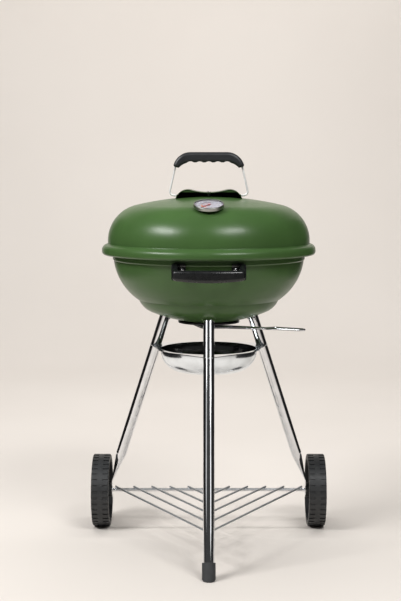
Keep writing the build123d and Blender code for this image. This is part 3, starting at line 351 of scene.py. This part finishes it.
# Dark steel on the damper; on the shield spacers this dark is painted shade for the dark gap under
# the heat shield.
dress(dark_steel_and_shade, "bottom_damper", "shield_spacers")
print("metals on legs, wire and fasteners")

# %% [markdown]
# ## The wire of the lid handle
# The wire stands up bright and thin against the wall: that brightness is a painted reflection, a
# near-white colour with little metal in place of chrome. Its lowest run lies under the heat shield,
# where it is painted black as shade. The distance from the grill's middle plane tells the two
# apart: the shield covers everything nearer than its own half width.

# %% Bail finish
# Painted shade: the wire's run under the heat shield is coloured this black.
SHADE_BLACK = (0.012, 0.012, 0.012, 1)
BAIL_METALLIC = 0.2
SHIELD_FLANK = 0.002

shield_low, shield_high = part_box("heat_shield")
# Painted reflection: a near-white base with little metal stands for the chrome wire's bright sheen.
wire_sheen_and_shade, tree, shader, where = metal("bail_wire", (0.94, 0.93, 0.92), 0.30, 0.40)
shader.inputs["Metallic"].default_value = BAIL_METALLIC
apart = add_node(tree, "ShaderNodeSeparateXYZ", Vector=where.outputs["Object"])
aside = add_node(tree, "ShaderNodeMath", {"operation": "ABSOLUTE"})
tree.links.new(apart.outputs["X"], aside.inputs[0])
# Painted shade mask: 1 where the wire runs under the heat shield.
shaded_run = add_node(tree, "ShaderNodeMath", {"operation": "LESS_THAN"})
tree.links.new(aside.outputs["Value"], shaded_run.inputs[0])
shaded_run.inputs[1].default_value = shield_high.x - SHIELD_FLANK
overlay(tree, shader, shaded_run.outputs["Value"], SHADE_BLACK)
dress(wire_sheen_and_shade, "lid_handle_bail")
print(f"bail wire, shade_painted within {shield_high.x * 1000:.0f} mm of the middle")

# %% [markdown]
# ## The ash pan
# The pan is spun: a disc of aluminium is pushed over a turning form, which leaves fine rings round
# its axis. A ring wave centred on that axis gives them as bump. Its inside is painted dark grey as
# shade and dark reflection, and the same normal test as in the enamel picks out the inside.

# %% Ash pan finish
# Painted shade and dark reflection: the colour given to the pan's inside.
PAN_INSIDE_SHADE = (0.22, 0.23, 0.23, 1)
SPIN_RINGS = 330
SPIN_WOBBLE = 0.4
SPIN_DEPTH = 0.000012
MIDDLE_UNDER_RIM = 0.006

pan_low, pan_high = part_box("ash_pan")
pan_metal, tree, shader, where = metal("spun_aluminium", (0.88, 0.93, 0.97), 0.12, 0.20)
inner, outward = looks_in(tree, where, (0, AXIS_Y, pan_high.z - MIDDLE_UNDER_RIM))
# Inner faces of the pan take the painted dark grey.
overlay(tree, shader, inner, PAN_INSIDE_SHADE)
rings = add_node(
    tree, "ShaderNodeTexWave", {"wave_type": "RINGS", "rings_direction": "Z"},
    Vector=outward, Scale=SPIN_RINGS, Distortion=SPIN_WOBBLE,
)
bump(tree, shader, rings.outputs["Fac"], SPIN_DEPTH)
dress(pan_metal, "ash_pan")
print(f"spun pan, {(pan_high.z - pan_low.z) * 1000:.0f} mm deep")

# %% [markdown]
# ## Moulded black pieces
# Handles and wheels are black plastic with a fine spark-eroded grain from the mould, and the
# foot is a softer rubber. Black never means zero: a little grey lets the shape read.

# %% Plastic and rubber finishes
MOULD_PALER = 1.3


def moulded(name, colour, smooth, rough, grain_scale, grain_depth):
    """Moulded plastic or rubber with mould grain."""
    material, tree, shader, where = new_finish(name)
    place = where.outputs["Object"]
    paler = tuple(channel * MOULD_PALER for channel in colour)
    tree.links.new(ramp(tree, grain(tree, place, 45), colour, paler), shader.inputs["Base Color"])
    tree.links.new(between(tree, grain(tree, place, 80), smooth, rough), shader.inputs["Roughness"])
    bump(tree, shader, grain(tree, place, grain_scale, 2.0), grain_depth)
    return material


grip_plastic = moulded("grip_plastic", (0.016, 0.017, 0.019), 0.36, 0.46, 1500, 0.00008)
dress(grip_plastic, "lid_handle_grip")
handle_plastic = moulded("handle_plastic", (0.006, 0.0065, 0.007), 0.24, 0.34, 1500, 0.00004)
dress(handle_plastic, "bowl_handle")
wheel_plastic = moulded("wheel_plastic", (0.020, 0.021, 0.022), 0.44, 0.58, 1100, 0.00010)
dress(wheel_plastic, "wheel_left", "wheel_right", "axle_caps")
foot_rubber = moulded("foot_rubber", (0.030, 0.032, 0.034), 0.55, 0.68, 900, 0.00012)
dress(foot_rubber, "front_foot_cap")
print("plastic and rubber done")

# %% [markdown]
# ## The thermometer's dial
# The dial is printed sheet metal behind a glass lens. The lens lets the light through to the
# print, so it casts no shadow, and the print keeps its own colour.

# %% Dial finishes
INK_GLOSS = 0.06
GLASS_IOR = 1.05


def paint(name, dark, light, roughness=0.45, scale=120):
    """Printing ink or paint with a trace of unevenness."""
    look = {"Roughness": roughness, "Specular_IOR_Level": INK_GLOSS}
    material, tree, shader, where = new_finish(name, **look)
    tone = grain(tree, where.outputs["Object"], scale)
    tree.links.new(ramp(tree, tone, dark, light), shader.inputs["Base Color"])
    return material


dress(paint("dial_face", (0.24, 0.235, 0.26), (0.27, 0.265, 0.29)), "thermometer_dial")
needle_paint = paint("needle_paint", (0.20, 0.002, 0.003), (0.24, 0.003, 0.004), 0.4, 200)
dress(needle_paint, "thermometer_needle")

material, tree, shader, where = new_finish("dial_glass", Transmission_Weight=1.0, IOR=GLASS_IOR)
film = grain(tree, where.outputs["Object"], 60)
tree.links.new(between(tree, film, 0.0, 0.03), shader.inputs["Roughness"])
dress(material, "thermometer_lens")
nodes["thermometer_lens"].visible_shadow = False
print("dial finishes done")

# %% [markdown]
# ## A small kit for modelling
# New pieces start as a primitive at the origin, are shaped there, and are then carried to
# their real place by one matrix. Applying the transform puts the place into the mesh, which is
# how the CAD pieces are stored too, so textures sit the same way on both.

# %% Define the modelling helpers
def alone(piece):
    """Select one piece and nothing else."""
    bpy.ops.object.select_all(action="DESELECT")
    piece.select_set(True)
    bpy.context.view_layer.objects.active = piece


def settle(piece, place):
    """Carry a piece to its place and store that place in its mesh."""
    piece.matrix_world = place @ piece.matrix_world
    alone(piece)
    bpy.ops.object.transform_apply(location=True, rotation=True, scale=True)


def copy_to(pattern, place):
    """A copy of a piece with its own mesh, at another place."""
    made = pattern.copy()
    made.data = pattern.data.copy()
    bpy.context.collection.objects.link(made)
    settle(made, place)
    return made


def join(name, pieces):
    """Join pieces into one and name it."""
    alone(pieces[0])
    for piece in pieces[1:]:
        piece.select_set(True)
    bpy.ops.object.join()
    pieces[0].name = name
    return pieces[0]


def drop(piece):
    """Remove a pattern that has been copied."""
    bpy.data.objects.remove(piece)


def own(piece, body, finish):
    """Give a new piece its finish and the body that it moves with."""
    piece.data.materials.clear()
    piece.data.materials.append(finish)
    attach(piece, body)
    print(f"{piece.name}: {len(piece.data.polygons)} faces on {body}")


def place_along(origin, along):
    """A place at origin whose Z points along a direction."""
    return Matrix.Translation(origin) @ Vector(along).to_track_quat("Z", "Y").to_matrix().to_4x4()


print("modelling helpers ready")

# %% [markdown]
# ## Where the dial lies
# The thermometer sits on the slope of the lid. Its lens is a flat disc, so the size of the
# lens's box gives the slope: height and depth of a tilted disc mix its width and thickness by
# the sine and cosine of the slope. The print lies just over the dial and under the needle.

# %% Find the dial's plane
LENS_T = 0.0012
PRINT_BELOW_LENS = 0.00186

lens_low, lens_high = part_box("thermometer_lens")
lens_size = lens_high - lens_low
lens_width = lens_size.x
slope = math.asin((lens_width * lens_size.z - LENS_T * lens_size.y) / (lens_width**2 - LENS_T**2))
dial_out = Vector((0, -math.sin(slope), math.cos(slope)))
dial_up = Vector((0, math.cos(slope), math.sin(slope)))
dial_middle = (lens_low + lens_high) / 2 - dial_out * PRINT_BELOW_LENS
dial = Matrix((
    (1, dial_up.x, dial_out.x, dial_middle.x),
    (0, dial_up.y, dial_out.y, dial_middle.y),
    (0, dial_up.z, dial_out.z, dial_middle.z),
    (0, 0, 0, 1),
))
print(f"dial slopes {math.degrees(slope):.1f} degrees, {lens_width * 1000:.1f} mm wide")

# %% [markdown]
# ## Scale marks
# A round gauge sweeps 270 degrees. One mark is a thin box whose inner end is pinched in edit
# mode, long for every fifth mark and short otherwise, and copied round the dial.

# %% Model the scale marks
SCALE_START = 225
SCALE_SWEEP = 270
MARKS = 36
LONG_EVERY = 5
MARK_OUTER = 0.0283
MARK_T = 0.00008
MARK_PINCH = 0.55
LONG_MARK = (0.0034, 0.0007)
SHORT_MARK = (0.0019, 0.0004)

dial_ink = paint("dial_ink", (0.020, 0.014, 0.040), (0.028, 0.020, 0.050))


def scale_mark(length, width):
    """A thin box along X that ends at the scale's outer radius, narrower at its inner end."""
    bpy.ops.object.select_all(action="DESELECT")
    bpy.ops.mesh.primitive_cube_add(size=1, location=(MARK_OUTER - length / 2, 0, MARK_T / 2))
    made = bpy.context.object
    made.scale = (length, width, MARK_T)
    bpy.ops.object.transform_apply(location=True, rotation=True, scale=True)
    pick(made, lambda point: point.x < MARK_OUTER - length / 2)
    bpy.ops.object.mode_set(mode="EDIT")
    bpy.ops.transform.resize(value=(1, MARK_PINCH, 1))
    bpy.ops.object.mode_set(mode="OBJECT")
    return made


def scale_turn(share):
    """Turn about the dial's axis for a share of the scale, 0 at its low end."""
    return Matrix.Rotation(math.radians(SCALE_START - SCALE_SWEEP * share), 4, "Z")


long_mark = scale_mark(*LONG_MARK)
short_mark = scale_mark(*SHORT_MARK)
marks = []
for i in range(MARKS):
    pattern = short_mark if i % LONG_EVERY else long_mark
    marks.append(copy_to(pattern, dial @ scale_turn(i / (MARKS - 1))))
drop(long_mark)
drop(short_mark)
own(join("dial_marks", marks), "lid", dial_ink)

# %% [markdown]
# ## Numbers
# Plain degrees stand inside the long marks, upright as on most round gauges. Text is turned
# into a mesh before it is carried to the dial, so that its place is stored in its points.

# %% Set the numbers
NUMBER_R = 0.0214
NUMBER_SIZE = 0.0046
DEGREES_A_MARK = 10

numbers = []
for i in range(0, MARKS, LONG_EVERY):
    bpy.ops.object.select_all(action="DESELECT")
    bpy.ops.object.text_add()
    words = bpy.context.object
    words.data.body = str(i * DEGREES_A_MARK)
    words.data.align_x = "CENTER"
    words.data.align_y = "CENTER"
    words.data.size = NUMBER_SIZE
    words.data.extrude = MARK_T / 2
    bpy.ops.object.convert(target="MESH")
    spot = scale_turn(i / (MARKS - 1)) @ Vector((NUMBER_R, 0, MARK_T / 2))
    settle(words, dial @ Matrix.Translation(spot))
    numbers.append(words)
own(join("dial_numbers", numbers), "lid", dial_ink)

# %% [markdown]
# ## Coloured bands
# Two coloured arcs mark the low and the high heat. Each starts as a small plane across the
# band, whose edge is spun about the dial's middle, and solidify gives the ink a thickness.

# %% Spin the coloured bands
BAND_R = 0.0150
BAND_W = 0.0024
BAND_STEP_DEG = 4
BAND_LEAST_STEPS = 8
BAND_MERGE = 0.00001
LOW_HEAT = (0.18, 0.47)
HIGH_HEAT = (0.56, 0.86)


def colour_band(name, first, last, ink):
    """A printed arc between two shares of the scale."""
    sweep_angle = math.radians(SCALE_SWEEP * (last - first))
    steps = max(BAND_LEAST_STEPS, round(math.degrees(sweep_angle) / BAND_STEP_DEG))
    bpy.ops.object.select_all(action="DESELECT")
    bpy.ops.mesh.primitive_plane_add(size=1, location=(BAND_R, 0, 0))
    made = bpy.context.object
    made.scale = (BAND_W, MARK_T, 1)
    bpy.ops.object.transform_apply(location=True, rotation=True, scale=True)
    pick(made, lambda point: point.y < 0)
    bpy.ops.object.mode_set(mode="EDIT")
    bpy.ops.mesh.spin(steps=steps, angle=sweep_angle, center=(0, 0, 0), axis=(0, 0, -1))
    bpy.ops.mesh.select_all(action="SELECT")
    bpy.ops.mesh.remove_doubles(threshold=BAND_MERGE)
    bpy.ops.mesh.normals_make_consistent(inside=False)
    bpy.ops.object.mode_set(mode="OBJECT")
    thick = made.modifiers.new("ink", "SOLIDIFY")
    thick.thickness = MARK_T
    thick.offset = 0
    bpy.ops.object.modifier_apply(modifier=thick.name)
    made.name = name
    settle(made, dial @ scale_turn(first))
    own(made, "lid", ink)


orange_ink = paint("orange_ink", (0.42, 0.11, 0.02), (0.48, 0.14, 0.03))
colour_band("dial_low_band", *LOW_HEAT, orange_ink)
plum_ink = paint("plum_ink", (0.09, 0.035, 0.05), (0.11, 0.045, 0.06))
colour_band("dial_high_band", *HIGH_HEAT, plum_ink)

# %% [markdown]
# ## Cross recesses in the screws
# The CAD screws have plain domes. A real one has a cross pressed into it. We take a copy of
# the screws, merge its loose triangles into a closed skin, and cut a cross out of each dome
# with a Boolean. The cut copy then stands for the CAD screws.

# %% Cut the recesses
HANDLE_SCREW_TURN = math.radians(14.7)
HANDLE_SCREW_LEAN = math.radians(-9.7)
HANDLE_CROSS = 0.0046
BOLT_CROSS = 0.0054
RECESS_W = 0.0011
RECESS_DEPTH = 0.0013
RECESS_TAPER = 0.6
TOP_BAND = 0.00002
SCREW_MERGE = 0.000002
SMOOTH_UNDER = math.radians(35)


def recess_cutter(across):
    """Two crossed bars with tapered lower ends, centred on the origin."""
    bars = []
    for turn in (0, math.pi / 2):
        bpy.ops.object.select_all(action="DESELECT")
        bpy.ops.mesh.primitive_cube_add(size=1)
        bar = bpy.context.object
        bar.scale = (across, RECESS_W, 2 * RECESS_DEPTH)
        bpy.ops.object.transform_apply(location=False, rotation=False, scale=True)
        pick(bar, lambda point: point.z < 0)
        bpy.ops.object.mode_set(mode="EDIT")
        bpy.ops.transform.resize(value=(RECESS_TAPER, RECESS_TAPER, 1))
        bpy.ops.object.mode_set(mode="OBJECT")
        settle(bar, Matrix.Rotation(turn, 4, "Z"))
        bars.append(bar)
    return bars


def top_along(node, along, side):
    """The point of a node that lies furthest along a direction, on one side of its middle."""
    low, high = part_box(node)
    middle = (low + high) / 2
    points = [v.co for v in nodes[node].data.vertices if (v.co - middle).dot(side) >= 0]
    best = max(point.dot(along) for point in points)
    tops = [point for point in points if point.dot(along) > best - TOP_BAND]
    return sum(tops, Vector()) / len(tops)


def cut_recesses(node, name, body, heads, across):
    """Replace the screws of a node by a copy with a cross cut into each head."""
    made = nodes[node].copy()
    made.data = nodes[node].data.copy()
    made.parent = None
    bpy.context.collection.objects.link(made)
    made.name = name
    alone(made)
    bpy.ops.object.mode_set(mode="EDIT")
    bpy.ops.mesh.select_all(action="SELECT")
    bpy.ops.mesh.remove_doubles(threshold=SCREW_MERGE)
    bpy.ops.object.mode_set(mode="OBJECT")
    for along, side in heads:
        place = place_along(top_along(node, Vector(along), Vector(side)), along)
        for bar in recess_cutter(across):
            settle(bar, place)
            alone(made)
            cut = made.modifiers.new("recess", "BOOLEAN")
            cut.operation = "DIFFERENCE"
            cut.object = bar
            bpy.ops.object.modifier_apply(modifier=cut.name)
            drop(bar)
    alone(made)
    bpy.ops.object.shade_smooth_by_angle(angle=SMOOTH_UNDER)
    own(made, body, fastener_metal)
    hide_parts(node)


def handle_screw_out(side):
    """The way out of the bowl at a handle screw, right for side 1 and left for side -1."""
    level = math.cos(HANDLE_SCREW_LEAN)
    aside = side * math.sin(HANDLE_SCREW_TURN) * level
    return (aside, -math.cos(HANDLE_SCREW_TURN) * level, math.sin(HANDLE_SCREW_LEAN))


cut_recesses(
    "bowl_handle_screws", "handle_screw_heads", "stand",
    [(handle_screw_out(side), (side, 0, 0)) for side in (-1, 1)], HANDLE_CROSS,
)
cut_recesses(
    "shield_bolts", "shield_bolt_heads", "lid",
    [((0, 0, 1), (0, side, 0)) for side in (-1, 1)], BOLT_CROSS,
)

# %% [markdown]
# ## Weld beads at the leg sockets
# Each socket is welded to the bowl before the enamel is fired, so a soft lumpy ring shows
# round its root under the green. A torus pushed in and out by a cloud texture gives the lumps.

# %% Model the weld beads
LEG_TOP_R = 0.110
LEG_TOP_Z = 0.5146
LEG_TILT = math.radians(20.2)
WELD_R = 0.0144
WELD_T = 0.0013
WELD_LUMP = 0.0007
WELD_LUMP_APART = 0.003
WELD_STEPS_ROUND = 96
WELD_STEPS_ACROSS = 12
LEG_AZIMUTHS = (-90, 30, 150)

lumps = bpy.data.textures.new("weld_lumps", "CLOUDS")
lumps.noise_scale = WELD_LUMP_APART
welds = []
for azimuth in LEG_AZIMUTHS:
    turn = math.radians(azimuth)
    out = Vector((math.cos(turn), math.sin(turn), 0))
    root = out * LEG_TOP_R + Vector((0, AXIS_Y, LEG_TOP_Z))
    up_leg = -out * math.sin(LEG_TILT) + Vector((0, 0, math.cos(LEG_TILT)))
    bpy.ops.object.select_all(action="DESELECT")
    bpy.ops.mesh.primitive_torus_add(
        major_radius=WELD_R, minor_radius=WELD_T,
        major_segments=WELD_STEPS_ROUND, minor_segments=WELD_STEPS_ACROSS,
    )
    bead = bpy.context.object
    push = bead.modifiers.new("lumps", "DISPLACE")
    push.texture = lumps
    push.strength = WELD_LUMP
    push.mid_level = 0.5
    bpy.ops.object.modifier_apply(modifier=push.name)
    bpy.ops.object.shade_smooth()
    settle(bead, place_along(root, up_leg))
    welds.append(bead)
socket_enamel = nodes["leg_sockets"].data.materials[0]
own(join("socket_weld_beads", welds), "stand", socket_enamel)

# %% [markdown]
# ## Black flags
# Chrome shows its surroundings. In the photograph the tubes have dark edges beside their white
# stripes, because the studio is dark on both sides. Two black cards stand for that. They are
# seen only by reflections: the camera, the shadows and the soft light pass them by.

# %% Stand the flags
FLAG_AT_X = 1.25
FLAG_FRONT_Y = -0.5
FLAG_BACK_Y = 2.1
FLAG_HEIGHT = 1.5

flag_cloth = paint("flag_cloth", (0.012, 0.012, 0.013), (0.018, 0.018, 0.019), 0.95, 8)
for side in (-1, 1):
    bpy.ops.object.select_all(action="DESELECT")
    bpy.ops.mesh.primitive_plane_add(
        size=1, location=(side * FLAG_AT_X, (FLAG_FRONT_Y + FLAG_BACK_Y) / 2, FLAG_HEIGHT / 2),
        rotation=(0, -side * math.pi / 2, 0),
    )
    flag = bpy.context.object
    flag.scale = (FLAG_HEIGHT, FLAG_BACK_Y - FLAG_FRONT_Y, 1)
    flag.name = "left_flag" if side < 0 else "right_flag"
    flag.visible_camera = False
    flag.visible_diffuse = False
    flag.visible_shadow = False
    flag.data.materials.append(flag_cloth)
print("flags stand at both sides")

# %% [markdown]
# ## Light
# The two streaks on the lid's shoulder say where the softboxes stood: one to the left and
# nearer the side, one to the right and nearer the front, both above the lid. A large soft
# light overhead gives the rest, and a wash keeps the wall even. The air itself stays dim, so
# that chrome and enamel keep their dark reflections.

# %% Light the studio
def softbox(name, place, aim, size, watts):
    """A rectangular lamp at place that faces aim."""
    place = Vector(place)
    turn = (Vector(aim) - place).to_track_quat("-Z", "Y").to_euler()
    bpy.ops.object.light_add(type="AREA", location=place, rotation=turn)
    lamp = bpy.context.object
    lamp.name = name
    lamp.data.shape = "RECTANGLE"
    lamp.data.size, lamp.data.size_y = size
    lamp.data.energy = watts
    lamp.visible_camera = False
    return lamp


LID_FRONT = (0, AXIS_Y - 0.2, 0.71)
softbox("left_softbox", (-1.80, -1.16, 2.2), LID_FRONT, (1.15, 0.52), 57)
softbox("right_softbox", (1.03, -1.80, 2.45), LID_FRONT, (1.05, 0.52), 40)
softbox("top_softbox", (0, 0.1, 3.3), (0, 0.1, 0), (3.2, 2.4), 38).visible_glossy = False
softbox("wall_wash", (0, 1.2, 3.4), (0, 4.0, 1.2), (4.0, 0.8), 96).visible_glossy = False

# %% [markdown]
# ## Strip lights for the chrome
# Chromed tubes show hardly anything but lamps. Photographers stand narrow strip lights low
# beside the camera to draw white lines down a tube. They are bright above and dim below, as
# in the photograph, and light the legs alone through light linking, so the enamel keeps the
# softbox streaks that it has.

# %% Stand the strip lights
chrome_only = bpy.data.collections.new("chrome_only")
for name in LEG_TUBES:
    chrome_only.objects.link(nodes[name])
LEG_MIDDLE = (0, AXIS_Y - 0.2, 0.4)
for name, place, size, watts in (
    ("left_strip", (-1.15, -0.95, 1.38), (0.50, 0.62), 4.5),
    ("left_strip_low", (-1.15, -0.95, 0.82), (0.50, 0.50), 0.5),
    ("right_strip", (0.95, -1.25, 1.38), (0.42, 0.66), 5.5),
    ("right_strip_low", (0.95, -1.25, 0.82), (0.42, 0.50), 1.0),
):
    lamp = softbox(name, place, LEG_MIDDLE, size, watts)
    lamp.light_linking.receiver_collection = chrome_only
print("strip lights on the chrome")

# %% [markdown]
# ## Air
# What no lamp reaches is lit by the room itself, dimly.

# %% Fill the room with dim light
AIR_GREY = (0.5, 0.5, 0.5, 1)
AIR_STRENGTH = 0.11

world = bpy.data.worlds.new("studio_air")
bpy.context.scene.world = world
world.use_nodes = True
air = world.node_tree.nodes["Background"]
air.inputs["Color"].default_value = AIR_GREY
air.inputs["Strength"].default_value = AIR_STRENGTH
bpy.context.scene.view_settings.view_transform = "Standard"
print("studio lit")

# %% [markdown]
# ## The end
# Dressing must not change how big the grill is.

# %% End of the scene
print("scene dressed")
